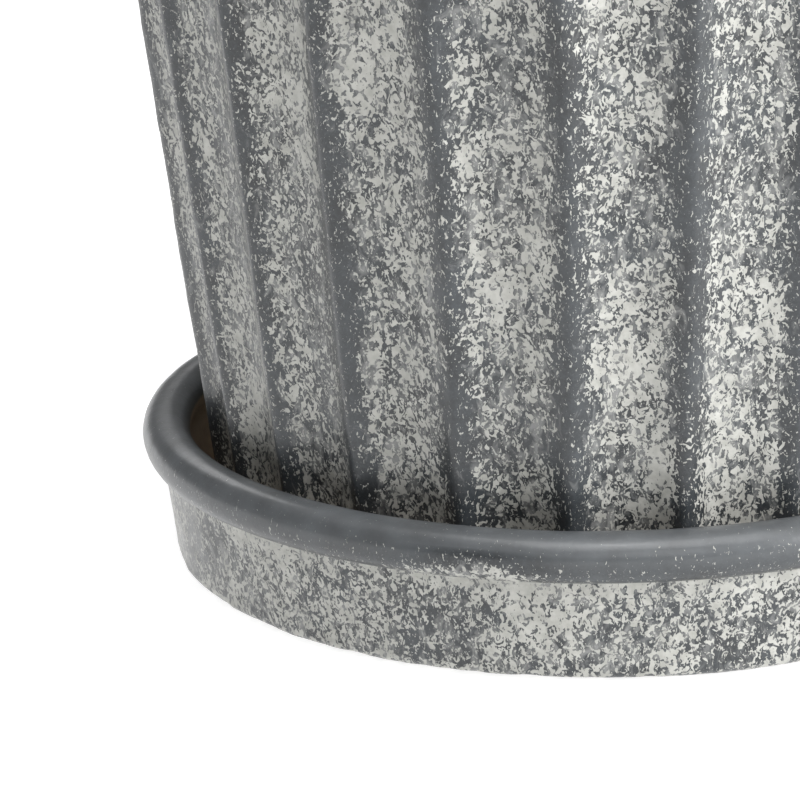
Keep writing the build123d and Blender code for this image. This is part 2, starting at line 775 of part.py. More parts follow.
drain_plug.part.label = "drain_plug"
export_step(drain_plug.part, "parts/drain_plug.step")

with BuildPart() as drain_plug_seal:
    with BuildSketch(Plane.XY.offset(plug_flange_top)):
        with Locations((plug_centre, 0)):
            Circle(plug_stem_radius + plug_seal_width)
            Circle(plug_stem_radius, mode=Mode.SUBTRACT)
    extrude(amount=plug_seal_thickness)
drain_plug_seal.part.label = "drain_plug_seal"
export_step(drain_plug_seal.part, "parts/drain_plug_seal.step")

# The joints' places and ranges, for the record
print("saucer outer radius", round(saucer_outer_radius, 3), "base", round(saucer_base_radius, 3))
print("pot base", round(pot_base, 3), "roll centre", round(pot_roll_centre, 3))
print("handle pivots x", round(pivot_x, 3), "z", round(pivot_height, 3))
print("cap hinge y", round(cap_hinge_y, 3), "z", round(cap_hinge_z, 3), "fill y", round(fill_y, 3))
print("gauge y", round(gauge_y, 3), "float travel", round(float_travel, 3))
print("platform", round(platform_under, 3), "to", round(platform_top, 3))
print("overflow x", round(overflow_centre, 3), "drain plug x", round(plug_centre, 3))
print("liner floor top", round(liner_floor_top, 3), "liner top", round(liner_top, 3))
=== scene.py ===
import json
import math

import bpy
import numpy as np
from mathutils import Matrix, Vector, noise


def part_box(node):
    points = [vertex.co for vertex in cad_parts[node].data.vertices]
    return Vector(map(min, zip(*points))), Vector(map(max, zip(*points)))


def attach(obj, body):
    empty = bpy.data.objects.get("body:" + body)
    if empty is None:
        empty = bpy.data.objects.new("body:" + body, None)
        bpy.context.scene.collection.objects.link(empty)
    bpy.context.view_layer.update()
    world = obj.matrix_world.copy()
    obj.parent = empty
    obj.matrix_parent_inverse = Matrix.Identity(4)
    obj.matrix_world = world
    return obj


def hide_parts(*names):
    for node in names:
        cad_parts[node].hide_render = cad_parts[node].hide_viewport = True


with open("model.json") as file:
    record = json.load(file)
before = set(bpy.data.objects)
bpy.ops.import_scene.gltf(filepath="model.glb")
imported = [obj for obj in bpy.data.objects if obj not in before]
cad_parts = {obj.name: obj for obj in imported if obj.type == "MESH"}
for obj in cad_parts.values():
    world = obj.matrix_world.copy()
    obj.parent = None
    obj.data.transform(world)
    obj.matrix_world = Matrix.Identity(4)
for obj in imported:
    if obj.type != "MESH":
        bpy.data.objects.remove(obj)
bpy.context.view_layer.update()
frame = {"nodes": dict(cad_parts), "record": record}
MM = 0.001


# Sizes read from the frame, in metres

def corner(node, side, axis):
    """One coordinate of a node's box: side 0 is the low corner and 1 the high one."""
    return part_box(node)[side][axis]


SAUCER_OUTER = corner("saucer", 1, 0)
SAUCER_TOP = corner("saucer", 1, 2)
SAUCER_FOOT = corner("saucer", 0, 2)
SAUCER_ROLL = 7.9 * MM
SAUCER_ROLL_CENTRE = SAUCER_OUTER - SAUCER_ROLL
SAUCER_ROLL_HEIGHT = SAUCER_TOP - SAUCER_ROLL
SAUCER_WALL_RADIUS = SAUCER_OUTER - 5.7 * MM
SAUCER_BASE_RADIUS = SAUCER_WALL_RADIUS - 4.2 * MM
SAUCER_WALL = 8.0 * MM
SAUCER_EDGE_ROUND = 3.0 * MM
SAUCER_CORNER_ROUND = 8.0 * MM
SAUCER_FLOOR_TOP = corner("standoff_pads", 0, 2)
SAUCER_RECESS_TOP = corner("saucer_pads", 1, 2)
SAUCER_FOOT_INNER = SAUCER_BASE_RADIUS - 16.0 * MM

POT_BASE = corner("pot", 0, 2)
POT_TOP = corner("pot", 1, 2)
POT_BASE_RADIUS = 130.1 * MM
POT_TAPER = 0.1176
POT_WALL = 6.5 * MM
POT_FLOOR_TOP = POT_BASE + 10.0 * MM
POT_ROLL = 9.5 * MM
POT_ROLL_CENTRE = corner("pot", 1, 0) - POT_ROLL
POT_ROLL_HEIGHT = POT_TOP - POT_ROLL
DRAIN_HOLE = 14.0 * MM
SCREEN_SEAT = 22.0 * MM
SCREEN_SEAT_DEPTH = 2.0 * MM
FLUTES = 24
FLUTE_ANGLE = 2 * math.pi / FLUTES
FIRST_RIDGE = math.radians(-79.25)
FLUTE_DEPTH_RATIO = 0.165

LINER_GAP = 2.0 * MM
LINER_WALL = 2.6 * MM
PLATFORM_TOP = corner("separator", 1, 2)
PLATFORM_RADIUS = (corner("separator", 1, 0) - corner("separator", 0, 0)) / 2
COLLAR_WIDTH = 5.0 * MM
COLLAR_THICKNESS = 3.0 * MM
FILL_TUBE_RADIUS = 17.0 * MM
FILL_SCREWS = 19.4 * MM          # radius of the circle that the screws stand on
GAUGE_SCREWS = 11.4 * MM
CUP_RADIUS = 20.0 * MM
CUP_WALL = 2.0 * MM
CUP_LIP = 3.0 * MM
CUP_TAPER = 4.0 * MM

# How the pot's ridges are softened: their slope next to the crest, the length over which two flutes
# blend, and the height that the blending takes away again
RIDGE_SLOPE = 0.966
RIDGE_BLEND = 4.6 * MM
CREST_LIFT = 0.8 * MM

PLAIN = -0.5          # fleck value of a surface with no flecks at all

CAMERA_LENS = 164.8
CAMERA_PLACE = (0, -1.1821, 0.4094)
CAMERA_TURN = math.radians(3.31)
CAMERA_LOOKS_DOWN = math.radians(17.07)
CAMERA_ROLL = math.radians(-1.58)
LAMP_TARGET = Vector((0, 0, 0.1))


# Camera

def add_camera():
    data = bpy.data.cameras.new("camera")
    data.lens = CAMERA_LENS
    data.clip_start = 0.05
    data.clip_end = 100
    camera = bpy.data.objects.new("camera", data)
    bpy.context.scene.collection.objects.link(camera)
    turn = Matrix.Rotation(CAMERA_TURN, 4, "Z")
    tilt = Matrix.Rotation(math.pi / 2 - CAMERA_LOOKS_DOWN, 4, "X")
    roll = Matrix.Rotation(CAMERA_ROLL, 4, "Z")
    camera.matrix_world = Matrix.Translation(CAMERA_PLACE) @ turn @ tilt @ roll
    bpy.context.scene.camera = camera


# Lights and floor

def add_area(name, azimuth, elevation, distance, size, power):
    """A rectangular lamp that faces the target. Azimuth 0 is the front and 90 the right, in degrees."""
    data = bpy.data.lights.new(name, "AREA")
    data.shape = "RECTANGLE"
    data.size, data.size_y = size
    data.energy = power
    lamp = bpy.data.objects.new(name, data)
    bpy.context.scene.collection.objects.link(lamp)
    a, e = math.radians(azimuth), math.radians(elevation)
    away = Vector((math.sin(a) * math.cos(e), -math.cos(a) * math.cos(e), math.sin(e)))
    lamp.location = LAMP_TARGET + away * distance
    lamp.rotation_mode = "QUATERNION"
    lamp.rotation_quaternion = away.to_track_quat("Z", "Y")


def add_lights():
    """A key light on the right, a tiny lamp high in front for a glint, a wide panel overhead, and
    weaker panels in front, on the left and behind."""
    add_area("key", 64, 17, 1.6, (0.5, 1.0), 23)
    add_area("glint", 4, 67, 1.8, (0.035, 0.008), 1.8)
    add_area("overhead", 20, 72, 2.0, (1.7, 1.9), 32)
    add_area("front", 12, 26, 2.0, (0.9, 0.7), 3.5)
    add_area("fill", -100, 60, 1.8, (1.0, 1.2), 1.5)
    add_area("back", 200, 38, 2.2, (1.4, 1.0), 10)
    world = bpy.data.worlds.new("studio")
    world.use_nodes = True
    background = world.node_tree.nodes["Background"]
    background.inputs["Color"].default_value = (1.0, 1.0, 1.0, 1)
    background.inputs["Strength"].default_value = 0.12
    bpy.context.scene.world = world


def add_floor():
    """A floor that glows almost white, so that it stays pale away from the lamps."""
    mesh = bpy.data.meshes.new("floor")
    half = 40.0
    corners = [(-half, -half, 0), (half, -half, 0), (half, half, 0), (-half, half, 0)]
    mesh.from_pydata(corners, [], [(0, 1, 2, 3)])
    floor = bpy.data.objects.new("floor", mesh)
    bpy.context.scene.collection.objects.link(floor)
    material = bpy.data.materials.new("floor")
    material.use_nodes = True
    shader = material.node_tree.nodes["Principled BSDF"]
    shader.inputs["Base Color"].default_value = (0.40, 0.40, 0.40, 1)
    shader.inputs["Roughness"].default_value = 0.9
    shader.inputs["Emission Color"].default_value = (1, 1, 1, 1)
    shader.inputs["Emission Strength"].default_value = 0.85
    mesh.materials.append(material)


# Materials

class Nodes:
    """A few short calls that build a material's node tree."""

    def __init__(self, name):
        self.material = bpy.data.materials.new(name)
        self.material.use_nodes = True
        self.tree = self.material.node_tree
        self.shader = self.tree.nodes["Principled BSDF"]

    def new(self, kind, **settings):
        node = self.tree.nodes.new(kind)
        for key, value in settings.items():
            setattr(node, key, value)
        return node

    def put(self, value, socket):
        """Links an output to a socket, or sets the socket's own value."""
        if isinstance(value, bpy.types.NodeSocket):
            self.tree.links.new(value, socket)
        else:
            socket.default_value = value

    def place(self, scale=(1, 1, 1)):
        """Coordinates that stay with the piece, stretched where scale is under 1."""
        where = self.new("ShaderNodeTexCoord")
        mapping = self.new("ShaderNodeMapping")
        mapping.inputs["Scale"].default_value = scale
        self.put(where.outputs["Object"], mapping.inputs["Vector"])
        return mapping.outputs["Vector"]

    def noise(self, place, size_mm, detail=3.0, rough=0.55, distort=0.0):
        """Noise whose blobs are about size_mm across."""
        node = self.new("ShaderNodeTexNoise")
        self.put(place, node.inputs["Vector"])
        node.inputs["Scale"].default_value = 1000.0 / size_mm
        node.inputs["Detail"].default_value = detail
        node.inputs["Roughness"].default_value = rough
        node.inputs["Distortion"].default_value = distort
        return node.outputs["Fac"]

    def math(self, operation, a, b=0.0, c=0.0):
        node = self.new("ShaderNodeMath", operation=operation)
        for value, socket in zip((a, b, c), node.inputs):
            self.put(value, socket)
        return node.outputs["Value"]

    def attribute(self, name):
        return self.new("ShaderNodeAttribute", attribute_name=name).outputs["Fac"]

    def ramp(self, fac, *stops):
        """A ramp between two (position, value or colour) stops."""
        node = self.new("ShaderNodeValToRGB")
        for element, (position, value) in zip(node.color_ramp.elements, stops):
            element.position = position
            colour = value if isinstance(value, tuple) else (value, value, value)
            element.color = (*colour, 1)
        self.put(fac, node.inputs["Fac"])
        return node.outputs["Color"]

    def tone(self, size_mm, rough, dark, light):
        """A colour that goes between two stops over patches of about size_mm."""
        return self.ramp(self.noise(self.place(), size_mm, 4, rough), dark, light)

    def mix(self, fac, a, b):
        node = self.new("ShaderNodeMix", data_type="RGBA")
        self.put(fac, node.inputs[0])
        for value, socket in ((a, node.inputs[6]), (b, node.inputs[7])):
            self.put((*value, 1) if isinstance(value, tuple) else value, socket)
        return node.outputs[2]

    def bump(self, height, depth_mm, strength=1.0, normal=None):
        node = self.new("ShaderNodeBump")
        node.inputs["Strength"].default_value = strength
        node.inputs["Distance"].default_value = depth_mm * MM
        self.put(height, node.inputs["Height"])
        if normal is not None:
            self.put(normal, node.inputs["Normal"])
        return node.outputs["Normal"]

    def finish(self, colour, roughness, normal=None, **values):
        self.put(colour, self.shader.inputs["Base Color"])
        self.put(roughness, self.shader.inputs["Roughness"])
        if normal is not None:
            self.put(normal, self.shader.inputs["Normal"])
        for key, value in values.items():
            self.shader.inputs[key.replace("_", " ")].default_value = value
        return self.material


def fleck_cover(n, flecks):
    """Where off-white glaze lies, from 0 to 1: curled flecks that gather in drifts, and fine specks."""
    place = n.place((1, 1, 0.80))
    clusters = n.noise(place, 9, 2, 0.5)
    curls = n.noise(place, 4.2, 1.5, 0.5, 0.6)
    curls = n.math("SINE", n.math("MULTIPLY", curls, 34.0))
    blobs = n.noise(place, 1.8, 2, 0.58, 0.7)
    drifts = n.math("SUBTRACT", n.noise(n.place((1, 1, 0.7)), 24, 2, 0.5), 0.5)
    level = flecks
    for part, weight in ((clusters, 0.17), (drifts, 0.17), (blobs, 0.54), (curls, 0.042)):
        level = n.math("MULTIPLY_ADD", part, weight, level)
    cover = n.ramp(level, (0.360, 0.0), (0.380, 1.0))
    specks = n.noise(n.place((1, 1, 0.55)), 0.9, 2, 0.6, 0.8)
    specks = n.math("MULTIPLY_ADD", flecks, 0.20, specks)
    return n.math("MAXIMUM", cover, n.ramp(specks, (0.604, 0.0), (0.640, 1.0)))


def grey_glaze(n, flecks):
    """Dark grey with pale streaks, washed lighter among the flecks, and an even grey on the rims that
    is lighter partly as painted light from above.
    """
    grey = n.tone(16, 0.62, (0.30, (0.020, 0.022, 0.024)), (0.70, (0.050, 0.058, 0.065)))
    streaks = n.noise(n.place(), 1.3, 3, 0.7, 1.2)
    grey = n.mix(n.ramp(streaks, (0.42, 0.0), (0.74, 0.28)), grey, (0.125, 0.140, 0.152))
    wash = n.noise(n.place((1, 1, 0.6)), 4.5, 3, 0.65, 1.0)
    wash = n.math("MULTIPLY_ADD", flecks, 1.5, wash)
    grey = n.mix(n.ramp(wash, (0.45, 0.0), (0.68, 0.50)), grey, (0.46, 0.465, 0.45))
    on_rim = n.ramp(n.math("MULTIPLY", flecks, -1.0), (0.16, 0.0), (0.34, 1.0))
    # The rims' grey is partly their own bluish grey and partly painted light: it is lighter than the
    # plain grey on the ridges to stand in for light from above falling on the rim.
    rim_grey_with_painted_light = n.tone(11, 0.6, (0.32, (0.092, 0.098, 0.103)), (0.70, (0.128, 0.138, 0.147)))
    return n.mix(on_rim, grey, rim_grey_with_painted_light)


def glaze(name):
    """Flecked grey glaze, steered by the mesh's fleck value, and brown where its brown value is 1. The
    brown is partly painted light, lighter than bare clay to brighten the shaded insides.
    """
    n = Nodes(name)
    flecks = n.attribute("fleck")
    cover = fleck_cover(n, flecks)
    white = n.tone(5, 0.65, (0.35, (0.40, 0.40, 0.37)), (0.65, (0.56, 0.56, 0.525)))
    # The brown is lighter than bare clay: partly the clay's own colour and partly painted light that
    # brightens the shaded insides.
    brown = n.tone(12, 0.65, (0.3, (0.45, 0.345, 0.245)), (0.7, (0.62, 0.49, 0.36)))
    outside = n.mix(cover, grey_glaze(n, flecks), white)
    colour = n.mix(n.attribute("brown"), outside, brown)
    shine = n.mix(cover, (0.36, 0.36, 0.36), (0.56, 0.56, 0.56))
    pits = n.noise(n.place(), 1.6, 3, 0.6)
    waves = n.noise(n.place(), 7, 3, 0.5)
    normal = n.bump(waves, 0.5, 0.35)
    normal = n.bump(pits, 0.25, 0.35, normal)
    normal = n.bump(cover, 0.10, 0.6, normal)
    return n.finish(
        colour, shine, normal, Specular_IOR_Level=0.45, Coat_Weight=0.45, Coat_Roughness=0.24
    )


# Turned shells

def flute_bottom():
    """Radius of the deepest line of a flute, over the radius of the ridges."""
    half = FLUTE_ANGLE / 2
    return math.cos(half) - 2 * math.sin(half) * FLUTE_DEPTH_RATIO


def pot_inner_radius(height):
    """Radius of the pot's smooth inside."""
    return (POT_BASE_RADIUS + POT_TAPER * (height - POT_BASE)) * flute_bottom() - POT_WALL


def flute_profile(ridge, phase):
    """Radius of a hollow arc between two ridges. Phase is -0.5 and 0.5 at them and 0 halfway."""
    bottom = flute_bottom()
    centre = (1 - bottom**2) / (2 * (math.cos(FLUTE_ANGLE / 2) - bottom))
    arc = centre - bottom
    angle = phase * FLUTE_ANGLE
    return ridge * (centre * np.cos(angle) - np.sqrt(arc**2 - (centre * np.sin(angle)) ** 2))


def fluted_radius(angle, height):
    """Radius of the pot's outer wall, with soft, slightly uneven ridges, and how deep in a flute
    each point is, from 0 on a ridge to 1 in the middle."""
    ridge = POT_BASE_RADIUS + CREST_LIFT + POT_TAPER * (height - POT_BASE)
    uneven = 0.0050 * np.sin(3 * angle + 21 * height + 0.8) + 0.0040 * np.sin(7 * angle - 17 * height)
    turn = (angle - FIRST_RIDGE + uneven) / FLUTE_ANGLE
    phase = turn - np.floor(turn) - 0.5
    arc = flute_profile(ridge, phase)
    beyond = (0.5 - np.abs(phase)) * FLUTE_ANGLE
    next_arc = ridge * (1 + RIDGE_SLOPE * beyond)
    spread = np.clip(1 - np.abs(arc - next_arc) / RIDGE_BLEND, 0, 1)
    radius = np.minimum(arc, next_arc) - spread**2 * RIDGE_BLEND / 4
    return radius, 1 - 2 * np.abs(phase)


def rough_offset(points, amounts):
    """Low bumps of a hand-finished surface, in metres, for each point."""
    offsets = np.zeros(len(points))
    for i, (point, amount) in enumerate(zip(points, amounts)):
        if amount:
            p = Vector(point)
            offsets[i] = amount * (noise.noise(p * 70) + 0.45 * noise.noise(p * 190))
    return offsets


def turned_shell(name, rings, body, node, material, start_pole=None, end_pole=None, closed=False):
    """A shell about the Z axis, through a section's rings. A pole is the height at which an end comes
    to a point on the axis, and closed joins the last ring to the first."""
    columns = len(rings[0][0])
    angles = np.arange(columns) * 2 * math.pi / columns
    radii = np.array([r[0] for r in rings])
    heights = np.array([r[1] for r in rings])
    extra = [np.array([np.broadcast_to(r[k], columns) for r in rings]).ravel() for k in (2, 3, 4)]
    along_r = np.gradient(radii, axis=0)
    along_z = np.gradient(heights, axis=0)
    length = np.maximum(np.hypot(along_r, along_z), 1e-9)
    points = np.stack([radii * np.cos(angles), radii * np.sin(angles), heights], -1).reshape(-1, 3)
    offset = rough_offset(points, extra[0]).reshape(radii.shape)
    radii = radii + offset * along_z / length
    heights = heights - offset * along_r / length
    points = np.stack([radii * np.cos(angles), radii * np.sin(angles), heights], -1).reshape(-1, 3)
    rows = len(rings)
    faces = []
    for i in range(rows if closed else rows - 1):
        low, high = i * columns, (i + 1) % rows * columns
        for j in range(columns):
            k = (j + 1) % columns
            faces.append((low + j, low + k, high + k, high + j))
    vertices = [tuple(p) for p in points]
    fleck, brown = list(extra[1]), list(extra[2])
    for pole, ring, flip in ((start_pole, 0, True), (end_pole, rows - 1, False)):
        if pole is not None:
            vertices.append((0, 0, pole))
            fleck.append(fleck[ring * columns])
            brown.append(brown[ring * columns])
            centre = len(vertices) - 1
            for j in range(columns):
                a, b = ring * columns + j, ring * columns + (j + 1) % columns
                faces.append((centre, b, a) if flip else (centre, a, b))
    mesh = bpy.data.meshes.new(name)
    mesh.from_pydata(vertices, [], faces)
    for key, values in (("fleck", fleck), ("brown", brown)):
        layer = mesh.attributes.new(key, "FLOAT", "POINT")
        layer.data.foreach_set("value", np.array(values, np.float32))
    mesh.polygons.foreach_set("use_smooth", [True] * len(mesh.polygons))
    mesh.materials.append(material)
    piece = bpy.data.objects.new(name, mesh)
    bpy.context.scene.collection.objects.link(piece)
    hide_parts(node)
    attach(piece, body)


class Section:
    """The rings round a turned shell: radii, heights, roughness in metres, fleck and brown values."""

    def __init__(self, columns):
        self.angle = np.arange(columns) * 2 * math.pi / columns
        self.rings = []

    def add(self, radius, height, rough=0.0, fleck=PLAIN, brown=0):
        one = np.ones(len(self.angle))
        self.rings.append((radius * one, height * one, rough, fleck, brown))

    def add_all(self, places, **finish):
        for radius, height in places:
            self.add(radius, height, **finish)


def arc_points(centre_r, centre_z, radius, start, end, count):
    """Radii and heights along an arc in the section. Its start may differ round the shell."""
    turns = [start + (end - start) * share for share in np.linspace(0, 1, count)]
    return [(centre_r + radius * np.cos(t), centre_z + radius * np.sin(t)) for t in turns]


# Pot

def fleck_on_pot(angle, height, depth):
    """More flecks in the hollow of a flute, few on its ridges, and patches with more or fewer."""
    patches = 0.010 * np.sin(5 * angle + 31 * height) + 0.010 * np.sin(11 * angle - 43 * height + 2)
    hollow = np.clip((depth - 0.04) / 0.40, 0, 1)
    return -0.11 + 0.112 * hollow * hollow * (3 - 2 * hollow) + patches


def add_pot_underside(section):
    edge, _ = fluted_radius(section.angle, POT_BASE)
    edge = edge - 1.6 * MM
    for share in np.linspace(0, 1, 4):
        section.add(DRAIN_HOLE + (edge - DRAIN_HOLE) * share, POT_BASE, brown=1)


def add_pot_wall(section):
    """The fluted wall, up to the rolled rim. Gives the angles on the roll where the two meet."""
    near_top, _ = fluted_radius(section.angle, POT_ROLL_HEIGHT - 0.9 * POT_ROLL)
    meeting = -np.arccos(np.clip((near_top - POT_ROLL_CENTRE) / POT_ROLL, -1, 1))
    low = POT_BASE + 1.2 * MM
    high = POT_ROLL_HEIGHT + POT_ROLL * np.sin(meeting)
    for share in np.linspace(0, 1, 150):
        height = low + (high - low) * share
        radius, depth = fluted_radius(section.angle, height)
        fleck = fleck_on_pot(section.angle, height, depth)
        section.add(radius, height, rough=0.30 * MM, fleck=fleck)
    return meeting


def add_pot_roll(section, start):
    inner = (POT_ROLL_CENTRE - pot_inner_radius(POT_ROLL_HEIGHT)) / POT_ROLL
    end = math.pi + math.acos(min(1, inner))
    roll = arc_points(POT_ROLL_CENTRE, POT_ROLL_HEIGHT, POT_ROLL, start, end, 26)
    section.add_all(roll[1:], rough=0.12 * MM, fleck=PLAIN + 0.34)


def add_pot_inside(section):
    high = POT_ROLL_HEIGHT - 0.3 * POT_ROLL
    fall = POT_ROLL_HEIGHT - POT_FLOOR_TOP - 6 * MM
    for share in np.linspace(0.05, 1, 16):
        height = high - fall * share
        section.add(pot_inner_radius(height), height, rough=0.15 * MM, brown=1)
    edge = pot_inner_radius(POT_FLOOR_TOP)
    seat = POT_FLOOR_TOP - SCREEN_SEAT_DEPTH
    floor = [
        (edge - 1.5 * MM, POT_FLOOR_TOP + 0.6 * MM),
        (edge - 6 * MM, POT_FLOOR_TOP),
        (edge * 0.5, POT_FLOOR_TOP),
        (SCREEN_SEAT, POT_FLOOR_TOP),
        (SCREEN_SEAT, seat),
        (DRAIN_HOLE, seat),
    ]
    section.add_all(floor, brown=1)


def pot_rings():
    section = Section(480)
    add_pot_underside(section)
    meeting = add_pot_wall(section)
    add_pot_roll(section, meeting)
    add_pot_inside(section)
    return section.rings


# Saucer

def add_saucer_foot(section):
    """The unglazed recess and foot ring, and the foot's rounded edge."""
    recess_and_foot = [
        (10 * MM, SAUCER_RECESS_TOP),
        (SAUCER_FOOT_INNER * 0.5, SAUCER_RECESS_TOP),
        (SAUCER_FOOT_INNER - 1 * MM, SAUCER_RECESS_TOP),
        (SAUCER_FOOT_INNER, SAUCER_RECESS_TOP - 0.3 * MM),
        (SAUCER_FOOT_INNER + 0.4 * MM, SAUCER_FOOT + 0.2 * MM),
        (SAUCER_FOOT_INNER + 1.5 * MM, SAUCER_FOOT),
    ]
    section.add_all(recess_and_foot, brown=1)
    edge = SAUCER_EDGE_ROUND
    rounded = arc_points(SAUCER_BASE_RADIUS - edge, SAUCER_FOOT + edge, edge, -math.pi / 2, 0, 7)
    section.add_all(rounded, rough=0.45 * MM, fleck=0.005)


def add_saucer_wall(section):
    """The wall, up to the rolled rim. Gives the angle on the roll where the two meet."""
    angle = section.angle
    meeting = -math.acos((SAUCER_WALL_RADIUS - SAUCER_ROLL_CENTRE) / SAUCER_ROLL)
    low = SAUCER_FOOT + SAUCER_EDGE_ROUND
    high = SAUCER_ROLL_HEIGHT + SAUCER_ROLL * math.sin(meeting)
    slope = (SAUCER_WALL_RADIUS - SAUCER_BASE_RADIUS) / (SAUCER_ROLL_HEIGHT - low)
    for share in np.linspace(0.02, 1, 34):
        height = low + (high - low) * share
        patches = -0.045 * np.cos(9 * angle + 40 * height - 1.6)
        patches += 0.025 * np.sin(17 * angle - 90 * height + 1)
        fleck = -0.006 + 0.45 * patches + 0.05 * max(0.0, (share - 0.75) / 0.25)
        section.add(SAUCER_BASE_RADIUS + slope * (height - low), height, rough=0.28 * MM, fleck=fleck)
    return meeting


def add_saucer_roll(section, start):
    """The rolled rim. Flecks run up its underside in patches, and the brown inside starts on it."""
    end = math.pi + math.acos((SAUCER_ROLL_CENTRE - SAUCER_WALL_RADIUS + SAUCER_WALL) / SAUCER_ROLL)
    roll = arc_points(SAUCER_ROLL_CENTRE, SAUCER_ROLL_HEIGHT, SAUCER_ROLL, start, end, 34)[1:]
    patch = np.maximum(0, np.sin(5 * section.angle - 1.7) + 0.3 * np.sin(13 * section.angle)) ** 2
    for i, (radius, height) in enumerate(roll):
        share = i / len(roll)
        fleck = PLAIN + (0.40 + 0.20 * patch) * max(0.0, 1 - share / 0.34) ** 0.5
        brown = 1 if share > 0.80 else 0
        section.add(radius, height, rough=0.10 * MM, fleck=np.minimum(fleck, -0.01), brown=brown)


def add_saucer_inside(section):
    inner_at_floor = SAUCER_BASE_RADIUS - SAUCER_WALL
    inner_at_rim = SAUCER_WALL_RADIUS - SAUCER_WALL
    high = SAUCER_ROLL_HEIGHT - 3 * MM
    low = SAUCER_FLOOR_TOP + SAUCER_CORNER_ROUND
    for share in (0.3, 0.6, 1.0):
        radius = inner_at_rim + (inner_at_floor - inner_at_rim) * share
        section.add(radius, high + (low - high) * share, rough=0.10 * MM, brown=1)
    centre = inner_at_floor - SAUCER_CORNER_ROUND
    corner_arc = arc_points(centre, low, SAUCER_CORNER_ROUND, 2 * math.pi, 1.5 * math.pi, 8)
    floor = [(centre * 0.5, SAUCER_FLOOR_TOP), (10 * MM, SAUCER_FLOOR_TOP)]
    section.add_all(corner_arc[1:] + floor, brown=1)


def saucer_rings():
    section = Section(720)
    add_saucer_foot(section)
    meeting = add_saucer_wall(section)
    add_saucer_roll(section, meeting)
    add_saucer_inside(section)
    return section.rings


def add_pot_and_saucer():
    turned_shell(
        "pot_glazed", pot_rings(), "pot", "pot", glaze("pot_glaze"), closed=True
    )
    turned_shell(
        "saucer_glazed", saucer_rings(), "saucer", "saucer", glaze("saucer_glaze"),
        start_pole=SAUCER_RECESS_TOP, end_pole=SAUCER_FLOOR_TOP,
    )


# Plastic, felt, rubber and steel

def moulded(name, colour, roughness, grain_mm=0.8):
    n = Nodes(name)
    grain = n.noise(n.place(), grain_mm, 3, 0.6)
    cloud = n.noise(n.place(), 35, 3, 0.5)
    dark = tuple(0.82 * c for c in colour)
    tone = n.ramp(cloud, (0.3, dark), (0.7, colour))
    shine = n.ramp(grain, (0.3, roughness - 0.06), (0.7, roughness + 0.08))
    return n.finish(tone, shine, n.bump(grain, 0.08, 0.4))


def felt(name, colour):
    n = Nodes(name)
    fibre = n.noise(n.place(), 0.6, 5, 0.75, 2.0)
    clump = n.noise(n.place(), 4, 3, 0.6)
    tone = n.ramp(fibre, (0.3, tuple(0.6 * c for c in colour)), (0.7, colour))
    tone = n.mix(clump, tone, tuple(0.8 * c for c in colour))
    return n.finish(tone, 0.95, n.bump(fibre, 0.35, 0.7), Sheen_Weight=0.4)


def steel(name, colour, roughness):
    n = Nodes(name)
    lines = n.noise(n.place((1, 1, 0.05)), 0.4, 2, 0.5)
    shine = n.ramp(lines, (0.3, roughness - 0.08), (0.7, roughness + 0.10))
    return n.finish(colour, shine, n.bump(lines, 0.02, 0.3), Metallic=1.0)


def clear(name):
    n = Nodes(name)
    haze = n.noise(n.place(), 3, 3, 0.5)
    shine = n.ramp(haze, (0.3, 0.04), (0.7, 0.12))
    return n.finish((0.95, 0.98, 0.98, 1), shine, Transmission_Weight=1.0, IOR=1.49)


def add_finishes():
    """Gives the CAD nodes their materials, by the record's material slots, and returns them."""
    finishes = {
        "felt": felt("felt", (0.20, 0.19, 0.17)),
        "rubber": moulded("rubber", (0.035, 0.035, 0.035), 0.7),
        "screen_steel": steel("screen_steel", (0.55, 0.55, 0.55, 1), 0.35),
        "liner_plastic": moulded("liner_plastic", (0.035, 0.036, 0.040), 0.5),
        "platform_plastic": moulded("platform_plastic", (0.055, 0.058, 0.062), 0.5),
        "pipe_plastic": moulded("pipe_plastic", (0.075, 0.080, 0.085), 0.42),
        "bush_plastic": moulded("bush_plastic", (0.70, 0.69, 0.66), 0.4),
        "clear_plastic": clear("clear_plastic"),
        "cap_plastic": moulded("cap_plastic", (0.045, 0.048, 0.052), 0.28),
        "float_foam": moulded("float_foam", (0.78, 0.76, 0.70), 0.8, 1.5),
        "indicator_red": moulded("indicator_red", (0.55, 0.02, 0.015), 0.25),
        "grip_plastic": moulded("grip_plastic", (0.03, 0.03, 0.03), 0.6),
        "steel": steel("steel", (0.60, 0.60, 0.61, 1), 0.3),
    }
    for part in frame["record"]["subparts"]:
        if part["material_slot"] in finishes:
            mesh = frame["nodes"][part["node"]].data
            mesh.materials.clear()
            mesh.materials.append(finishes[part["material_slot"]])
    return finishes


# Smaller pieces, turned or moulded

def add_piece(name, vertices, faces, body, material, replaced=()):
    """A smooth piece from its mesh, in place of some CAD nodes or beside them."""
    mesh = bpy.data.meshes.new(name)
    mesh.from_pydata([tuple(v) for v in vertices], [], faces)
    mesh.polygons.foreach_set("use_smooth", [True] * len(mesh.polygons))
    mesh.set_sharp_from_angle(angle=math.radians(40))
    mesh.materials.append(material)
    piece = bpy.data.objects.new(name, mesh)
    bpy.context.scene.collection.objects.link(piece)
    if replaced:
        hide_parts(*replaced)
    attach(piece, body)


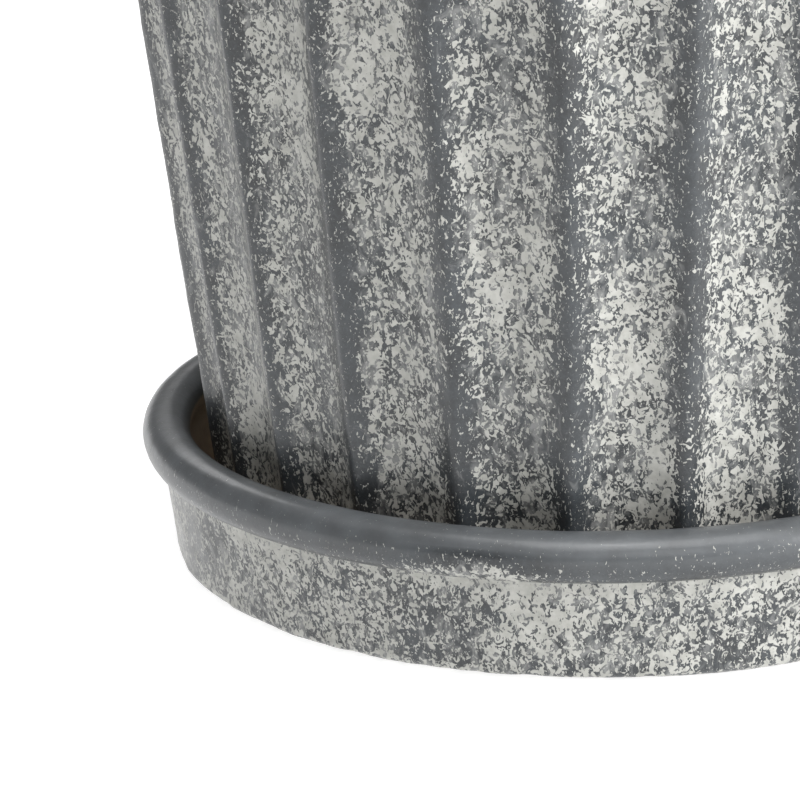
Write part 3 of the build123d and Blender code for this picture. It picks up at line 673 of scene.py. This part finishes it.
def lathe(profile, place, steps=64, ribs=0, rib_depth=0.0, ribbed=()):
    """(radius, height) points turned about the Z axis of place, as vertices and faces, closed at both
    ends. The points numbered in ribbed get grooves, one for each of the ribs."""
    vertices, faces = [], []
    for i, (radius, height) in enumerate(profile):
        for j in range(steps):
            angle = 2 * math.pi * j / steps
            r = radius
            if i in ribbed:
                r -= rib_depth * (0.5 - 0.5 * math.cos(ribs * angle)) ** 2
            vertices.append(place @ Vector((r * math.cos(angle), r * math.sin(angle), height)))
    for i in range(len(profile) - 1):
        for j in range(steps):
            k = (j + 1) % steps
            faces.append((i * steps + j, i * steps + k, (i + 1) * steps + k, (i + 1) * steps + j))
    faces.append(tuple(reversed(range(steps))))
    faces.append(tuple(range((len(profile) - 1) * steps, len(profile) * steps)))
    return vertices, faces


def ring_profile(inner, outer, low, high, edge):
    """A ring's section with its top edges broken, as a closed loop of (radius, height) points."""
    return [
        (inner, low),
        (outer, low),
        (outer, high - edge),
        (outer - edge, high),
        (inner + edge, high),
        (inner, high - edge),
        (inner, low),
    ]


def turned_ring(profile, place, steps=96, **ribs):
    """A ring, turned from a closed section."""
    vertices, faces = lathe(profile[:-1], place, steps, **ribs)
    faces = faces[:-2]
    last = (len(profile) - 2) * steps
    for j in range(steps):
        k = (j + 1) % steps
        faces.append((last + j, last + k, k, j))
    return vertices, faces


def middle_of(node):
    low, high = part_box(node)
    return Vector([(a + b) / 2 for a, b in zip(low, high)])


def add_grips(material):
    """Handle grips with finger grooves and rounded ends."""
    for side in ("left", "right"):
        node = side + "_handle_grip"
        low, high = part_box(node)
        half = (high[1] - low[1]) / 2
        radius = (high[2] - low[2]) / 2
        profile = [(0.56 * radius, -half), (0.82 * radius, -half + 0.3 * MM)]
        for share in np.linspace(-1, 1, 61):
            groove = 0.9 * MM * (0.5 - 0.5 * math.cos(5 * math.pi * (share + 1))) ** 2
            profile.append((radius - groove * (abs(share) < 1), share * (half - 1.2 * MM)))
        profile += [(0.82 * radius, half - 0.3 * MM), (0.56 * radius, half)]
        place = Matrix.Translation(middle_of(node)) @ Matrix.Rotation(-math.pi / 2, 4, "X")
        vertices, faces = lathe(profile, place, 48)
        name = side + "_grip_moulded"
        add_piece(name, vertices, faces, side + "_handle", material, [node])


def add_wick_felts(material):
    """Rolled felt plugs with soft, fuzzy tops, one in each cup."""
    bottom, top = corner("wick_felts", 0, 2), corner("wick_felts", 1, 2)
    felt_radius = CUP_RADIUS - CUP_WALL
    spacing = corner("wick_cups", 1, 0) - CUP_RADIUS - CUP_LIP
    crown = top - PLATFORM_TOP
    profile = [(felt_radius - CUP_TAPER, bottom), (felt_radius, corner("separator", 0, 2))]
    for share in np.linspace(0, 1, 24):
        roll = 0.35 * MM * math.sin(share * 9 * math.pi) * (share < 0.95)
        shoulder = 0.5 * crown * (1 - min(1, share / 0.22)) ** 2
        profile.append((felt_radius * (1 - 0.97 * share), top - shoulder - 0.4 * MM + roll))
    for number, (x, y) in enumerate(((1, 1), (-1, 1), (-1, -1), (1, -1)), 1):
        place = Matrix.Translation((x * spacing, y * spacing, 0))
        vertices, faces = lathe(profile, place, 72)
        for vertex in vertices:
            if vertex.z > PLATFORM_TOP:
                vertex.z += 0.35 * MM * noise.noise(vertex * 600)
        name = "wick_felt_%d" % number
        add_piece(name, vertices, faces, "insert", material, ["wick_felts"])


def top_of_cap():
    """The middle of the lid's top, and the lid's radius."""
    low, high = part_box("fill_cap")
    radius = (high[0] - low[0]) / 2
    top = corner("fill_tube", 1, 2) - 2.0 * MM
    return Vector((middle_of("fill_tube").x, low[1] + radius, top)), radius


def add_cap_edge(material):
    """A raised, knurled edge round the lid."""
    top, radius = top_of_cap()
    profile = [
        (radius - 3.4 * MM, -0.2 * MM),
        (radius - 0.4 * MM, -0.2 * MM),
        (radius - 0.1 * MM, 0.8 * MM),
        (radius - 1.2 * MM, 1.6 * MM),
        (radius - 2.6 * MM, 1.6 * MM),
        (radius - 3.4 * MM, -0.2 * MM),
    ]
    place = Matrix.Translation(top)
    vertices, faces = turned_ring(profile, place, 192, ribs=32, rib_depth=0.7 * MM, ribbed=(1, 2, 3))
    add_piece("cap_knurled_edge", vertices, faces, "fill_cap", material)


def add_drop_mark(material):
    """A raised water drop on the lid."""
    top, _ = top_of_cap()
    steps = 48
    vertices = []
    for scale, rise in ((1.0, -0.2 * MM), (1.0, 0.4 * MM), (0.86, 0.7 * MM)):
        for j in range(steps):
            turn = 2 * math.pi * j / steps
            across = 5.2 * MM * math.sin(turn) * math.sin(turn / 2) ** 1.6
            along = -6.5 * MM * math.cos(turn)
            vertices.append(top + Vector((scale * across, scale * along, rise)))
    faces = []
    for i in range(2):
        for j in range(steps):
            k = (j + 1) % steps
            faces.append((i * steps + j, i * steps + k, (i + 1) * steps + k, (i + 1) * steps + j))
    faces.append(tuple(range(2 * steps, 3 * steps)))
    add_piece("cap_drop_mark", vertices, faces, "fill_cap", material)


def add_collar_screws(material):
    """Four domed screws in each tube's collar."""
    head, height = 1.9 * MM, 1.1 * MM
    profile = [(head, -0.2 * MM)]
    profile += [(head * math.cos(a), height * math.sin(a)) for a in np.linspace(0.1, 1.35, 7)]
    fill = middle_of("fill_tube")
    fill.y = corner("fill_tube", 0, 1) + FILL_TUBE_RADIUS + COLLAR_WIDTH
    gauge = middle_of("gauge_tube")
    for name, middle, circle in (("fill", fill, FILL_SCREWS), ("gauge", gauge, GAUGE_SCREWS)):
        for number in range(4):
            angle = math.radians(45 + 90 * number)
            x = middle.x + circle * math.cos(angle)
            y = middle.y + circle * math.sin(angle)
            place = Matrix.Translation((x, y, PLATFORM_TOP + COLLAR_THICKNESS))
            vertices, faces = lathe(profile, place, 32)
            piece_name = "%s_collar_screw_%d" % (name, number + 1)
            add_piece(piece_name, vertices, faces, "insert", material)


def add_platform_rims(material):
    """Raised rims round the platform and round the middle of it."""
    for name, inner, outer in (
        ("platform_outer_rim", PLATFORM_RADIUS - 2.6 * MM, PLATFORM_RADIUS - 0.2 * MM),
        ("platform_inner_rim", 30.5 * MM, 31.7 * MM),
    ):
        profile = ring_profile(inner, outer, PLATFORM_TOP - 0.2 * MM, PLATFORM_TOP + 1.6 * MM, 0.4 * MM)
        vertices, faces = turned_ring(profile, Matrix())
        add_piece(name, vertices, faces, "insert", material)


def add_liner_beads(material):
    """Two stiffening beads inside the liner, the upper one at the soil line."""
    bead = 1.6 * MM
    for name, drop in (("liner_soil_line", 30 * MM), ("liner_lower_bead", 110 * MM)):
        height = corner("liner", 1, 2) - drop
        root = pot_inner_radius(height) - LINER_GAP - LINER_WALL + 0.3 * MM
        profile = [(root, height - bead)]
        for turn in np.linspace(-1.2, 1.2, 9):
            profile.append((root - 1.5 * MM * math.cos(turn), height + bead * math.sin(turn)))
        profile += [(root, height + bead), profile[0]]
        vertices, faces = turned_ring(profile, Matrix(), 192)
        add_piece(name, vertices, faces, "liner", material)


def add_gauge_marks(material):
    """Two raised rings round the clear dome, for an empty and a nearly full reservoir."""
    low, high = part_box("sight_cap")
    radius = (high[0] - low[0]) / 2
    centre = middle_of("sight_cap")
    place = Matrix.Translation((centre.x, centre.y, 0))
    empty = corner("indicator_tip", 1, 2)
    for name, height in (("gauge_mark_empty", empty), ("gauge_mark_full", empty + 18.0 * MM)):
        inner, outer = radius - 0.2 * MM, radius + 0.35 * MM
        profile = ring_profile(inner, outer, height, height + 0.8 * MM, 0.15 * MM)
        vertices, faces = turned_ring(profile, place, 64)
        add_piece(name, vertices, faces, "insert", material)


def add_small_pieces(finishes):
    add_grips(finishes["grip_plastic"])
    add_wick_felts(finishes["felt"])
    add_cap_edge(finishes["cap_plastic"])
    add_drop_mark(finishes["bush_plastic"])
    add_collar_screws(finishes["steel"])
    add_platform_rims(finishes["platform_plastic"])
    add_liner_beads(finishes["liner_plastic"])
    add_gauge_marks(finishes["bush_plastic"])


add_camera()
add_lights()
add_floor()
add_pot_and_saucer()
add_small_pieces(add_finishes())
bpy.context.scene.view_settings.view_transform = "Standard"
